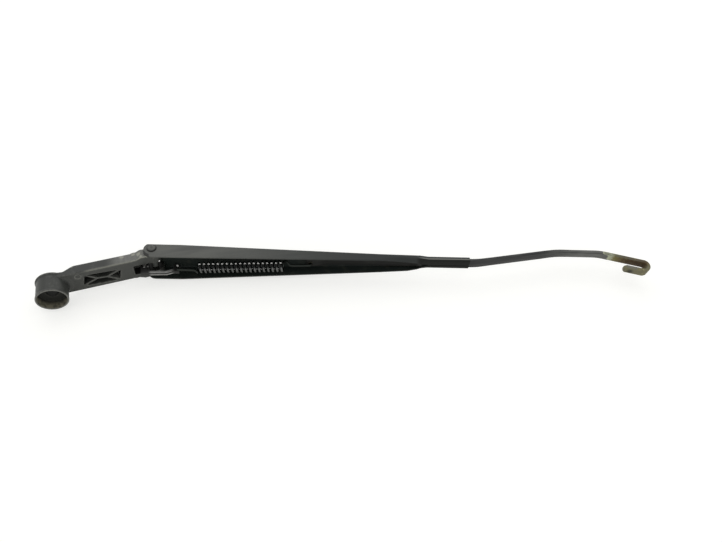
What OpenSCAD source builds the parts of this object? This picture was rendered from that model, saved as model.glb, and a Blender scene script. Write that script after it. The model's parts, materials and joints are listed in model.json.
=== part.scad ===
// Wiper arm with a cast head, a folded steel channel, a tension spring and a flat bar ending in a U hook.
// Millimetres. The origin is the middle of the boss mouth, +Z runs up the spindle bore, +X towards the hook.

/* [Boss] */
// Outer diameter of the boss
boss_d = 25; // [24:0.2:26]
// Height of the boss above its mouth
boss_h = 19; // [18:0.5:20]
// Wall of the cup at the mouth
rim_wall = 1.2; // [1:0.1:2.5]
// Depth of the cup under the spindle bore
cup_depth = 8.2; // [5:0.2:9]
// Diameter of the serrated spindle bore, taken at its crests
bore_d = 10; // [8:0.5:11]
// Diameter of the recess for the spindle nut
nut_recess_d = 18; // [16:0.5:19]
// Depth of the recess for the spindle nut
nut_recess_depth = 2.6; // [1:0.2:4]

/* [Head beam] */
// Width of the beam between boss and hinge
beam_w = 22.4; // [20:0.2:23]
// Thickness of the beam
beam_t = 9.4; // [8:0.2:9.6]
// Angle at which the beam climbs from the boss to the hinge
beam_rise = 6; // [4:0.5:7]
// Height of the underside of the beam over the spindle axis
beam_z = 13.2; // [12.6:0.2:14]
// Skin left over the pocket and the slot
skin = 1.9; // [1.5:0.1:2.5]
// Thickness of the crossed ribs in the pocket
rib_t = 1.7; // [1:0.1:2]

/* [Hinge] */
// Distance of the hinge pin from the spindle axis
hinge_x = 81.6; // [80:0.2:84]
// Height of the hinge pin above the boss mouth
hinge_z = 28.3; // [27.6:0.1:29.1]
// Diameter of the hinge pin
hinge_pin_d = 5.5; // [5:0.1:6]
// Diameter of the riveted heads of the hinge pin
rivet_head_d = 7.6; // [7.2:0.1:9]
// Radius of the two ears of the head round the hinge pin
ear_r = 7.2; // [6.6:0.1:7.4]
// Width of the slot between the ears
slot_w = 10.4; // [9:0.2:11]
// Side shift of the slot, the link and the spring from the middle
linkage_y = 1.2; // [0:0.1:1.5]

/* [Channel] */
// Angle at which the arm falls from the hinge, measured from the boss mouth
arm_slope = 12.3; // [10:0.1:14]
// Outer width of the channel at the hinge
channel_w = 29.7; // [29.2:0.1:31]
// Outer height of the channel at the hinge
channel_h = 14.7; // [13.5:0.1:15]
// Sheet thickness of the channel
sheet = 1.1; // [1:0.05:1.2]
// Width taper of the channel, in millimetres for each millimetre of length
width_taper = 0.0741; // [0.07:0.0001:0.076]
// Height taper of the channel, in millimetres for each millimetre of length
height_taper = 0.0392; // [0.036:0.0001:0.04]

/* [Bar and hook] */
// Width of the flat bar
bar_w = 9; // [8:0.5:9]
// Thickness of the flat bar
bar_t = 3; // [2.5:0.1:3.2]
// Clear gap between the legs of the hook
hook_gap = 6.3; // [6:0.1:7]
// Length of the straight return leg of the hook
hook_return = 17.6; // [12:0.2:20]
// Twist of the bar at the hook
hook_twist = 11; // [8:0.5:13]

/* [Link and spring] */
// Diameter of the cross pin in the head
cross_pin_d = 3.8; // [3.4:0.1:4]
// Thickness of the link plate
link_t = 3; // [2.5:0.1:3.4]
// Wire diameter of the spring
wire_d = 2.2; // [1.8:0.1:2.4]
// Outer diameter of the spring
spring_d = 10.2; // [9.6:0.1:10.4]
// Turns of the spring
spring_turns = 19.5; // [18.5:1:20.5]

/* [Hidden] */
$fn = 64;

// Small distances
eps = 0.01;
overcut = 1;
run_gap = 0.05;
press_gap = 0.02;
hinge_pin_r = hinge_pin_d / 2;
cross_pin_r = cross_pin_d / 2;

// Boss
boss_r = boss_d / 2;
cup_r = boss_r - rim_wall;
cup_chamfer = 0.5;
rim_lip = 0.3;
rim_lip_h = 1.2;
collar = 0.9;
collar_z = boss_h - 1.8;
edge_r = 1.2;
bore_top = boss_h - nut_recess_depth;

// Beam, in its own frame: s along the beam from the spindle axis, t up from the underside
beam_start = 3;
beam_end = 72;
beam_edge_low = 0.8;
beam_edge_top = 1.5;
ramp_x = 10.3;
ramp_run = 6.5;
ramp_rise = 4.2;
pocket_s0 = 24.6;
pocket_l = 28.7;
pocket_w = 12.6;
pocket_y = 1.2;
pocket_skew = 3.7;
pocket_lean = 1;
rib_middle = 8;
rib_set_back = 0.2;
slot_x0 = 64.6;
slot_open_x = 75.5;
fillet_r = 3.2;
fillet_w = 17;
fillet_angle = 120;
eject_d = 5.4;
eject_depth = 0.4;
eject_s = 21;
eject_y = -6;

// Fork
ear_gap = 0.45;
ear_w = channel_w - 2 * sheet - 2 * ear_gap;
flare_x0 = 67.8;
flare_x1 = 71.6;
web_over_hinge = 5.5;
web_start = 3;
wall_start = 6.7;
wall_round_top = 5.6;
wall_round_low = 7.4;
ear_top = web_over_hinge - sheet - ear_gap;
fork_join = 8;
ear_front = 4;
ear_back_a = 15;
flare_back = 9;

// Cross pin, under and behind the hinge pin
cross_x = 73.4;
cross_z = 23.8;
cross_seat = 4;

// Channel stations along the arm, from the hinge
parallel_end = 23;
fold_start = 196;
near_fold_run = 12;
far_fold_u = 222;
wall_end_u = 232;
clamp_start = 240;
clamp_end = 277.6;
clamp_gap = 0.05;
clamp_w = bar_w + 2 * (sheet + clamp_gap);
clamp_h = bar_t + 2 * (sheet + clamp_gap);
bar_y = -0.7;
corner_r = 1.6;
fold_l = 2.4;
notch_u = 230;
notch_l = 5;
notch_y = 2.9;
notch_w = 3;
pin_hole_gap = 0.03;
open_flap = 1.2;
last_flap = 2.4;
flap_grow = 16;
seam_y = 0.9;
seam_gap = 0.6;
fold_n = 4;
fold_step = 4;
mid_r = corner_r - sheet / 2;
fold_r = fold_l / (PI / 2);
clamp_wall = clamp_h - sheet - mid_r - fold_r;
clamp_flap = clamp_w / 2 - sheet / 2 - fold_r - seam_gap / 2;

// Bar path along the arm: u from the hinge, w above the hinge pin
bar_w0 = web_over_hinge - sheet - clamp_gap - bar_t / 2;
joggle = 2.2;
joggle_at = 11;
joggle_run = 7;
bar_start = 130;
spring_hole_u = 134.4;
spring_hole_r = 1.7;
spring_hole_y = 0.3;
rise_u0 = 284.6;
rise_u1 = 362.6;
bar_rise = 14.4;
rise_w = bar_w0 + bar_rise;
level_u1 = 404.5;
hook_dip = 15.1;
bend_u = 444.1;
hook_leg_l = 14.1;
hook_leg_u = bend_u - hook_leg_l;
rise_twist = 3;
twist_lead = 2;
twist_run = 14;
bar_edge = 0.45;
bar_bends = [0, 2.5, 2.5, 5, 6, 5, 0];
tip_cut = 2.4;
bend_r = (hook_gap + bar_t) / 2;
hook_leg_w = rise_w - (hook_leg_u - level_u1) * tan(hook_dip);

// Link, from the middle of the cross pin
link_eye_r = 3.4;
link_bar_h = 2.5;
link_heel = [-3.9, -8.6];
link_corner = [3.4, -8.7];
link_low = [17.2, -11.2];
link_low_end = [24, -10];
link_flag = [25.9, -7.9];
link_flag_w = 5;
link_flag_h = 8.8;
link_hole = [26.5, -6.3];
link_hole_r = 1.35;

// Spring
coil_r = (spring_d - wire_d) / 2;
coil_a = [115.9, 13.9];
coil_b = [189.6, 1.3];
coil_start_a = 285;
coil_end_a = coil_start_a + 360 * spring_turns;
coil_count = round(spring_turns * 16);
wire_sides = 8;
lead_in_bends = [0, 1.6, 1.1, 0.9, 0.9, 0];
lead_out_bends = [0, 1.8, 2, 1.6, 0];
coil_vec = coil_b - coil_a;
coil_l = norm(coil_vec);
coil_dip = -atan2(coil_vec[1], coil_vec[0]);
face_y = link_t / 2 + wire_d / 2 + 0.2;

// Points of the arm frame, turned and moved to the frame of the whole part
module on_arm() translate([hinge_x, 0, hinge_z]) rotate([0, arm_slope, 0]) children();
function arm_xz(u, w) = [
    hinge_x + u * cos(arm_slope) + w * sin(arm_slope),
    hinge_z - u * sin(arm_slope) + w * cos(arm_slope)
];

// Frame of the beam
module on_beam() translate([0, 0, beam_z]) rotate([0, -beam_rise, 0]) children();

// Turns a drawing in x and z into a plate of width w across the part
module across(w, y = 0) translate([0, y + w / 2, 0]) rotate([90, 0, 0]) linear_extrude(w) children();
module cross_bore(r, w, x, z, y = 0, n = 64)
    translate([x, y + w / 2, z]) rotate([90, 0, 0]) cylinder(r = r, h = w, $fn = n);

// Straight strip with round ends
module strip(p, q, w) {
    d = q - p;
    l = norm(d);
    n = [-d[1], d[0]] / l * w / 2;
    polygon([p + n, p - n, q - n, q + n]);
    translate(p) circle(d = w, $fn = 32);
    translate(q) circle(d = w, $fn = 32);
}

// Solid from a list of rings with the same number of points
function flat(rings) = [for (r = rings) for (p = r) p];
function cap_faces(n, o, a, b) = [
    for (j = [0 : n / 2 - 2], k = [0, 1])
        let (t = k == 0 ? [j, j + 1, n - 2 - j] : [j, n - 2 - j, n - 1 - j])
        [o + t[a], o + t[b], o + t[2]]
];
function wall_faces(n, m) = [
    for (i = [0 : m - 2], j = [0 : n - 1], half = [0, 1])
        let (k = (j + 1) % n, here = i * n, next = (i + 1) * n)
        half == 0 ? [here + j, next + j, here + k] : [here + k, next + j, next + k]
];
function skin_faces(n, m) = concat(cap_faces(n, 0, 0, 1), wall_faces(n, m), cap_faces(n, (m - 1) * n, 1, 0));
module ring_solid(rings) {
    polyhedron(points = flat(rings), faces = skin_faces(len(rings[0]), len(rings)), convexity = 8);
}

// Head
module boss_body() rotate_extrude($fn = 96) polygon([
    [0, 0], [boss_r + rim_lip - 0.4, 0], [boss_r + rim_lip, 0.4], [boss_r + rim_lip, rim_lip_h],
    [boss_r, rim_lip_h + 1],
    [boss_r, collar_z - 0.5], [boss_r + collar, collar_z], [boss_r + collar, boss_h - edge_r],
    [boss_r + collar - 0.35, boss_h - 0.35], [boss_r + collar - edge_r, boss_h], [0, boss_h]
]);

module beam_section() {
    translate([-beam_w / 2, beam_edge_low]) square([beam_w, beam_t - beam_edge_low - beam_edge_top]);
    translate([-beam_w / 2 + beam_edge_low, 0]) square([beam_w - 2 * beam_edge_low, beam_t - beam_edge_top]);
    translate([-beam_w / 2 + beam_edge_top, beam_t / 2]) square([beam_w - 2 * beam_edge_top, beam_t / 2]);
    for (side = [-1, 1]) {
        translate([side * (beam_w / 2 - beam_edge_low), beam_edge_low])
            circle(r = beam_edge_low, $fn = 24);
        translate([side * (beam_w / 2 - beam_edge_top), beam_t - beam_edge_top])
            circle(r = beam_edge_top, $fn = 32);
    }
}

function under_z(x) = beam_z + x * tan(beam_rise);
function top_z(x) = under_z(x) + beam_t / cos(beam_rise);

module beam_body() intersection() {
    on_beam() translate([beam_start, 0, 0]) rotate([90, 0, 90])
        linear_extrude(beam_end - beam_start) beam_section();
    across(beam_w + 2 * overcut) polygon([
        [0, 0], [0, boss_h], [ramp_x, boss_h], [ramp_x + ramp_run, boss_h + ramp_rise],
        [ramp_x + 3 * ramp_run, 2 * boss_h], [beam_end, 2 * boss_h], [beam_end, 0]
    ]);
}

// Rounded inner corner between the boss and the underside of the beam
module under_fillet() intersection() {
    rotate([0, 0, -fillet_angle / 2]) rotate_extrude(angle = fillet_angle, $fn = 96) difference() {
        translate([boss_r - overcut, under_z(boss_r) - fillet_r])
            square([fillet_r + overcut, fillet_r + overcut / 2]);
        translate([boss_r + fillet_r, under_z(boss_r) - fillet_r]) circle(r = fillet_r, $fn = 48);
    }
    translate([0, -fillet_w / 2, 0]) cube([2 * boss_r, fillet_w, boss_h]);
}

module fork_body() intersection() {
    across(ear_w) difference() {
        union() {
            polygon([
                [beam_end - fork_join, under_z(beam_end - fork_join)],
                [beam_end - fork_join, top_z(beam_end - fork_join)],
                [beam_end, top_z(beam_end)],
                [hinge_x - ear_r * cos(ear_back_a), hinge_z + ear_r * sin(ear_back_a)],
                [hinge_x, hinge_z],
                [hinge_x, hinge_z - ear_r],
                [hinge_x - ear_front, under_z(hinge_x - ear_front)]
            ]);
            translate([hinge_x, hinge_z]) circle(r = ear_r, $fn = 72);
        }
        polygon([
            arm_xz(-2 * ear_r, ear_top), arm_xz(2 * ear_r, ear_top),
            arm_xz(2 * ear_r, 2 * ear_r), arm_xz(-2 * ear_r, 2 * ear_r)
        ]);
    }
    linear_extrude(3 * boss_h) polygon([
        [beam_end - flare_back, -beam_w / 2], [flare_x0, -beam_w / 2], [flare_x1, -ear_w / 2],
        [2 * hinge_x, -ear_w / 2], [2 * hinge_x, ear_w / 2], [flare_x1, ear_w / 2],
        [flare_x0, beam_w / 2], [beam_end - flare_back, beam_w / 2]
    ]);
}

module crossed_ribs() {
    for (sx = [-1, 1], sy = [-1, 1])
        strip([sx * pocket_l / 2 - sy * pocket_lean, sy * pocket_w / 2], [sx * rib_middle / 2, 0], rib_t);
    strip([-rib_middle / 2, 0], [rib_middle / 2, 0], rib_t);
}

module rib_pocket() on_beam() translate([pocket_s0 + pocket_l / 2, pocket_y, -overcut])
    rotate([0, 0, pocket_skew]) difference() {
        linear_extrude(beam_t - skin + overcut) polygon([
            [-pocket_l / 2 + pocket_lean, -pocket_w / 2], [pocket_l / 2 + pocket_lean, -pocket_w / 2],
            [pocket_l / 2 - pocket_lean, pocket_w / 2], [-pocket_l / 2 - pocket_lean, pocket_w / 2]
        ]);
        translate([0, 0, overcut + rib_set_back]) linear_extrude(beam_t) crossed_ribs();
    }

module fork_slot() {
    on_beam() translate([slot_x0 / cos(beam_rise), linkage_y - slot_w / 2, -boss_h])
        cube([boss_d, slot_w, boss_h + beam_t - skin]);
    translate([slot_open_x, linkage_y - slot_w / 2, 0]) cube([boss_d, slot_w, 3 * boss_h]);
}

module arm_head() color([0.16, 0.17, 0.18]) difference() {
    union() {
        boss_body();
        beam_body();
        under_fillet();
        fork_body();
    }
    translate([0, 0, -overcut]) cylinder(r = cup_r, h = cup_depth + overcut, $fn = 96);
    translate([0, 0, -eps]) cylinder(r1 = cup_r + cup_chamfer, r2 = cup_r, h = cup_chamfer, $fn = 96);
    cylinder(r = bore_d / 2, h = boss_h + overcut);
    translate([0, 0, bore_top]) cylinder(r = nut_recess_d / 2, h = boss_h);
    rib_pocket();
    fork_slot();
    on_beam() translate([eject_s, eject_y, -overcut])
        cylinder(d = eject_d, h = overcut + eject_depth, $fn = 32);
    cross_bore(hinge_pin_r + run_gap, ear_w + 2 * overcut, hinge_x, hinge_z);
    cross_bore(cross_pin_r + press_gap, slot_w + 2 * cross_seat, cross_x, cross_z, linkage_y, 48);
}

module hook_pin() color([0.55, 0.55, 0.56])
    cross_bore(cross_pin_r, slot_w + 2 * cross_seat - 0.2, cross_x, cross_z, linkage_y, 48);

// Hinge pin, a rivet with two domed heads that grip the channel walls from outside
module rivet_head() rotate_extrude($fn = 64) polygon([
    [0, 0], [rivet_head_d / 2, 0], [rivet_head_d / 2, 0.5], [rivet_head_d / 2 - 0.5, 1.1],
    [rivet_head_d / 2 - 1.4, 1.5], [1.2, 1.6], [0.8, 1.2], [0, 1.1]
]);

module hinge_pin() color([0.2, 0.2, 0.21]) {
    cross_bore(hinge_pin_r, channel_w + 2 * press_gap + 2 * eps, hinge_x, hinge_z);
    for (side = [-1, 1])
        translate([hinge_x, side * (channel_w / 2 + press_gap), hinge_z])
        rotate([side * -90, 0, 0]) rivet_head();
}

// Channel, one folded sheet: each ring is the middle line of the sheet with half a sheet on both sides
function half_w(u) = (channel_w - width_taper * max(0, u - parallel_end)) / 2;
function taper_h(u) = channel_h - height_taper * max(0, u - parallel_end);
function side_w(u) = lookup(u, [
    [parallel_end, half_w(parallel_end)], [wall_end_u, half_w(wall_end_u)], [clamp_start, clamp_w / 2]
]);
function mid_y(u) = lookup(u, [[fold_start, 0], [clamp_start, bar_y]]);
function full_wall(u, side) = taper_h(u) - sheet / 2 - mid_r - fold_drop(u, side);
function wall_l(u, side) = u < wall_end_u ? full_wall(u, side)
    : lookup(u, [[wall_end_u, full_wall(wall_end_u, side)], [clamp_start, clamp_wall]]);
near_fold = [[fold_start, 0.5], [fold_start + near_fold_run, 14], [wall_end_u, 74], [clamp_start, 90]];
far_fold = [[far_fold_u, 0.5], [wall_end_u, 40], [clamp_start, 90]];
function fold_a(u, side) = lookup(u, side < 0 ? near_fold : far_fold);
function fold_drop(u, side) = let (a = fold_a(u, side))
    fold_l * sin(a) / (a * PI / 180) + open_flap_l(u) * cos(a);
function open_flap_l(u) = lookup(u, [[fold_start, open_flap], [fold_start + flap_grow, last_flap]]);
function flap_l(u, side) = u < wall_end_u ? open_flap_l(u)
    : lookup(u, [[wall_end_u, last_flap], [clamp_start, clamp_flap - side * seam_y]]);

// Turns and lengths along half the middle line, from the middle of the web to the free edge
function chords(turn) = concat([turn / 2], [for (i = [2 : fold_n]) turn], [turn / 2]);
function turns(u, side) = concat([0], chords(-90 / fold_n), chords(-fold_a(u, side) / fold_n));
function lengths(u, side) = concat(
    [side_w(u) - corner_r], [for (i = [1 : fold_n]) 2 * mid_r * sin(45 / fold_n)],
    [wall_l(u, side)], [for (i = [1 : fold_n]) fold_l / fold_n], [flap_l(u, side)]
);
function toward(a) = [cos(a), sin(a)];
function heading(t, i) = i == 0 ? t[0] : heading(t, i - 1) + t[i];
function walked(t, l, i) = i == 0 ? [0, 0] : walked(t, l, i - 1) + l[i - 1] * toward(heading(t, i - 1));
function mean_heading(t, i) = i == 0 ? t[0] : (heading(t, i - 1) + heading(t, min(i, len(t) - 1))) / 2;
function half_line(u, side, off) = let (t = turns(u, side), l = lengths(u, side)) [
    for (i = [0 : len(t)])
        let (p = walked(t, l, i) + off * toward(mean_heading(t, i) + 90))
        [side * p[0] + mid_y(u), p[1] + web_over_hinge - sheet / 2]
];
function backwards(v) = [for (i = [len(v) - 1 : -1 : 0]) v[i]];
function tail(v) = [for (i = [1 : len(v) - 1]) v[i]];
function sheet_ring(u) = [for (p = backwards(concat(
    backwards(half_line(u, -1, sheet / 2)), tail(half_line(u, 1, sheet / 2)),
    backwards(half_line(u, 1, -sheet / 2)), tail(half_line(u, -1, -sheet / 2))
))) [u, p[0], p[1]]];

channel_stations = concat(
    [-wall_start - overcut, parallel_end], [for (u = [fold_start : fold_step : clamp_start]) u], [clamp_end]
);

module wall_end() difference() {
    translate([-4 * wall_start, -channel_h]) square([4 * wall_start, 2 * channel_h]);
    polygon(concat(
        [[overcut, channel_h]],
        [for (a = [90 : 10 : 180])
            [-wall_start, web_over_hinge] + wall_round_top * [1 + cos(a), sin(a) - 1]],
        [for (a = [180 : 10 : 270])
            [-wall_start, web_over_hinge - channel_h] + wall_round_low * [1 + cos(a), sin(a) + 1]],
        [[overcut, -channel_h]]
    ));
}

module arm_channel() color([0.13, 0.14, 0.15]) on_arm() difference() {
    ring_solid([for (u = channel_stations) sheet_ring(u)]);
    across(2 * channel_w) wall_end();
    translate([-4 * wall_start, -channel_w / 2 + sheet - press_gap, -overcut])
        cube([4 * wall_start + web_start, channel_w - 2 * sheet + 2 * press_gap, channel_h]);
    translate([notch_u, notch_y - notch_w / 2, -channel_h])
        cube([notch_l, notch_w, channel_h + web_over_hinge - 2 * sheet]);
    cross_bore(hinge_pin_r + pin_hole_gap, 2 * channel_w, 0, 0);
}

// Flat bar with the U hook
function unit(v) = v / norm(v);
function curve(a, b, c, n = 4) = [
    for (k = [0 : n]) let (t = k / n) (1 - t) ^ 2 * a + 2 * t * (1 - t) * b + t ^ 2 * c
];
function step_to(a, b, r) = a + r * unit(b - a);
function bend_points(p, i, r) = curve(step_to(p[i], p[i - 1], r), p[i], step_to(p[i], p[i + 1], r));
function rounded(p, r) = [
    p[0], for (i = [1 : len(p) - 2]) for (q = bend_points(p, i, r[i])) q, p[len(p) - 1]
];

bar_path = rounded([
    [bar_start, bar_w0 - joggle], [bar_start + joggle_at, bar_w0 - joggle],
    [bar_start + joggle_at + joggle_run, bar_w0], [rise_u0, bar_w0], [rise_u1, rise_w],
    [level_u1, rise_w], [hook_leg_u, hook_leg_w]
], bar_bends);
function bar_twist(u) = lookup(u, [
    [rise_u0 - twist_lead, 0], [rise_u0 + twist_run, rise_twist],
    [rise_u1 - twist_run, rise_twist], [rise_u1 + twist_run, hook_twist]
]);
function path_angle(p, i) = let (d = p[min(i + 1, len(p) - 1)] - p[max(i - 1, 0)]) atan2(d[1], d[0]);

bar_section = let (y = bar_w / 2, z = bar_t / 2, c = bar_edge)
    [[-y + c, -z], [y - c, -z], [y, -z + c], [y, z - c], [y - c, z], [-y + c, z], [-y, z - c], [-y, -z + c]];
function bar_ring(p, a, twist) = [
    for (q = bar_section)
        let (side = q[0] * cos(twist) - q[1] * sin(twist), off = q[0] * sin(twist) + q[1] * cos(twist))
        [p[0] - off * sin(a), bar_y + side, p[1] + off * cos(a)]
];
bar_last = len(bar_path) - 1;
bar_angles = [for (i = [0 : bar_last]) i == bar_last ? -hook_dip : path_angle(bar_path, i)];

module bar_body() {
    ring_solid([for (i = [0 : bar_last]) bar_ring(bar_path[i], bar_angles[i], bar_twist(bar_path[i][0]))]);
}

// The hook in its own frame: x along the leg, the mouth of the hook below it
module hook_bend() translate([0, 0, -bend_r]) rotate([90, 0, 0]) rotate([0, 0, -90])
    rotate_extrude(angle = 180, $fn = 96) polygon([for (q = bar_section) [bend_r + q[1], q[0]]]);

module on_hook() translate([hook_leg_u, bar_y, hook_leg_w])
    rotate([0, hook_dip, 0]) rotate([hook_twist, 0, 0]) children();

module hook_body() on_hook() {
    leg = hook_leg_l / cos(hook_dip);
    translate([-eps, 0, 0]) rotate([90, 0, 90]) linear_extrude(leg + 2 * eps) polygon(bar_section);
    translate([leg, 0, 0]) hook_bend();
    translate([leg + eps, 0, -2 * bend_r]) intersection() {
        rotate([90, 0, -90]) linear_extrude(hook_return + eps) polygon(bar_section);
        translate([0, 0, -bar_t]) linear_extrude(2 * bar_t) polygon([
            [0, -bar_w], [tip_cut - hook_return, -bar_w / 2], [-hook_return, -bar_w / 2 + tip_cut],
            [-hook_return, bar_w / 2 - tip_cut], [tip_cut - hook_return, bar_w / 2], [0, bar_w]
        ]);
    }
}

module arm_rod() color([0.15, 0.15, 0.16]) on_arm() difference() {
    union() {
        bar_body();
        hook_body();
    }
    translate([spring_hole_u, spring_hole_y, bar_w0 - joggle - bar_t])
        cylinder(r = spring_hole_r, h = 2 * bar_t, $fn = 32);
}

// Link between the cross pin and the spring, a plate bent clear of the hinge pin
module link_plate() difference() {
    union() {
        circle(r = link_eye_r, $fn = 48);
        polygon([
            [-link_eye_r, 0], link_heel, link_corner - [0, link_bar_h / 2],
            [link_eye_r, link_corner[1]], [link_eye_r, 0]
        ]);
        strip(link_corner, link_low, link_bar_h);
        strip(link_low, link_low_end, link_bar_h);
        translate(link_flag) rotate(-arm_slope) square([link_flag_w, link_flag_h], center = true);
    }
    circle(r = cross_pin_r + run_gap, $fn = 48);
    translate(link_hole) circle(r = link_hole_r, $fn = 32);
}

module hook_link() color([0.3, 0.3, 0.31])
    translate([cross_x, 0, cross_z]) across(link_t, linkage_y) link_plate();

// Tension spring, one wire: hook in the link, straight lead, coils, straight lead, hook in the bar
function coil_local(p) = let (d = p - coil_a) [
    d[0] * cos(coil_dip) - d[1] * sin(coil_dip), d[0] * sin(coil_dip) + d[1] * cos(coil_dip)
];
link_eye = coil_local([cross_x, cross_z] + link_hole);
bar_eye = coil_local(arm_xz(spring_hole_u, bar_w0 - joggle));

function coil_point(k) = let (a = coil_start_a + 360 * spring_turns * k)
    [coil_l * k, coil_r * cos(a), coil_r * sin(a)];
lead_in = rounded([
    [link_eye[0], link_t / 2 + wire_d, link_eye[1]],
    [link_eye[0], -face_y, link_eye[1]],
    [link_eye[0] + 0.9, -face_y, -coil_r - 0.6],
    [link_eye[0] + 3.4, -face_y, -coil_r - 0.5],
    [-1.6, -0.6, -coil_r + 0.6],
    [0, coil_r * cos(coil_start_a) - 0.5, coil_r * sin(coil_start_a)]
], lead_in_bends);
lead_out_run = 5.6;
lead_out = rounded([
    [coil_l + 0.4, coil_r * cos(coil_end_a) - 0.8, coil_r * sin(coil_end_a)],
    [coil_l + 2, -coil_r * 0.86, coil_r * 0.7],
    [coil_l + lead_out_run, -0.8, -0.3],
    [bar_eye[0], spring_hole_y - linkage_y, -0.35],
    [bar_eye[0] + 0.25, spring_hole_y - linkage_y, bar_eye[1] + 1.8]
], lead_out_bends);
coils = [for (i = [1 : coil_count - 1]) coil_point(i / coil_count)];
wire_path = concat(lead_in, coils, lead_out);

function tangent(p, i) = unit(p[min(i + 1, len(p) - 1)] - p[max(i - 1, 0)]);
function square_to(r, t) = unit(r - (r * t) * t);
function carried(p, i, r, list) = i == len(p) ? list
    : let (q = square_to(r, tangent(p, i))) carried(p, i + 1, q, concat(list, [q]));
function wire_ring(p, side, other) = [
    for (k = [0 : wire_sides - 1])
        let (a = 360 * k / wire_sides)
        p + wire_d / 2 * (cos(a) * side + sin(a) * other)
];
function wire_rings(p, side0) = let (sides = carried(p, 0, side0, []))
    [for (i = [0 : len(p) - 1]) wire_ring(p[i], sides[i], cross(tangent(p, i), sides[i]))];

module tension_spring() color([0.62, 0.63, 0.6])
    translate([coil_a[0], linkage_y, coil_a[1]]) rotate([0, coil_dip, 0])
    ring_solid(wire_rings(wire_path, [0, 0, 1]));

arm_head();
hook_pin();
hinge_pin();
arm_channel();
arm_rod();
hook_link();
tension_spring();
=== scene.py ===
import json

import bmesh
import bpy
import numpy as np
from bpy.props import FloatProperty, FloatVectorProperty, IntProperty, PointerProperty
from bpy.types import Operator, Panel, PropertyGroup
from mathutils import Matrix, Vector


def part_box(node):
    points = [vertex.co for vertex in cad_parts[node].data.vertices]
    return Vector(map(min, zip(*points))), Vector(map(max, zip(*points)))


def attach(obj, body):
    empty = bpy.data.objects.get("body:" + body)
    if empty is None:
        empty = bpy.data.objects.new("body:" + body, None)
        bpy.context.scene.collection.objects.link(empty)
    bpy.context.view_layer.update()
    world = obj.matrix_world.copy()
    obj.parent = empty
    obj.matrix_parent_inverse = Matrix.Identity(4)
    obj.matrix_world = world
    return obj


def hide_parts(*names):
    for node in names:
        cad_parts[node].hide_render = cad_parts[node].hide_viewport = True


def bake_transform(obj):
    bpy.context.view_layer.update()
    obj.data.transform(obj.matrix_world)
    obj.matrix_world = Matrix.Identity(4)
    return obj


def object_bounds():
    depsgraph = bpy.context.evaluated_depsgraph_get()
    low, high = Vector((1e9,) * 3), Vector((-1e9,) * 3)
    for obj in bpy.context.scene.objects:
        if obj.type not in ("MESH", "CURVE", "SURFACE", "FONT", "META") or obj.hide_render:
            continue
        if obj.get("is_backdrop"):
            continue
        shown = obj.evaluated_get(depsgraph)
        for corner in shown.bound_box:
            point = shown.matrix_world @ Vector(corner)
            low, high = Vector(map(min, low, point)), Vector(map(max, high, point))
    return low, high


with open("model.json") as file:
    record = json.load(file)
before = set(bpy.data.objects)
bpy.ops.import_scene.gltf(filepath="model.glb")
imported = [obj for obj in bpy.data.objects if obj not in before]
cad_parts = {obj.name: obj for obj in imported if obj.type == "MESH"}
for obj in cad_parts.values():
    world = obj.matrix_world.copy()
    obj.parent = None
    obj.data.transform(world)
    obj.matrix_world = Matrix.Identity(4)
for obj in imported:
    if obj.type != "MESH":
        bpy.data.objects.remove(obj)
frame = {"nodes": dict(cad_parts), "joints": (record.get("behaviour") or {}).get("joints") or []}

bl_info = {
    "name": "Wiper arm",
    "version": (1, 0, 0),
    "blender": (4, 5, 0),
    "location": "3D View > Sidebar > Wiper arm",
    "description": "Builds the surfaces and finishes of a wiper arm round its packed solids",
    "category": "Object",
}

CAD_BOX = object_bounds()
MM = 0.001
PLAY = 0.05 * MM  # between the bar and the sheet that lies on it
JOINTS = {joint["name"]: joint for joint in frame["joints"]}
HINGE = np.array(JOINTS["arm_lift"]["pos_m"])
CROSS_PIN = np.array(JOINTS["link_swing"]["pos_m"])


# Settings

def length(name, words, value):
    """A length in millimetres as a property in metres."""
    return FloatProperty(name=name, description=words, default=value * MM, unit="LENGTH", subtype="DISTANCE",
                         precision=5)


def number(name, words, value):
    """A plain number, such as a taper or the power of a lamp."""
    return FloatProperty(name=name, description=words, default=value, min=0)


def angle(name, words, value):
    """An angle in degrees as a property in radians."""
    return FloatProperty(name=name, description=words, default=np.radians(value), unit="ROTATION",
                         subtype="ANGLE")


def colour(name, words, value):
    """A colour in linear light."""
    return FloatVectorProperty(name=name, description=words, default=value, size=3, min=0, max=1,
                               subtype="COLOR")


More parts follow.
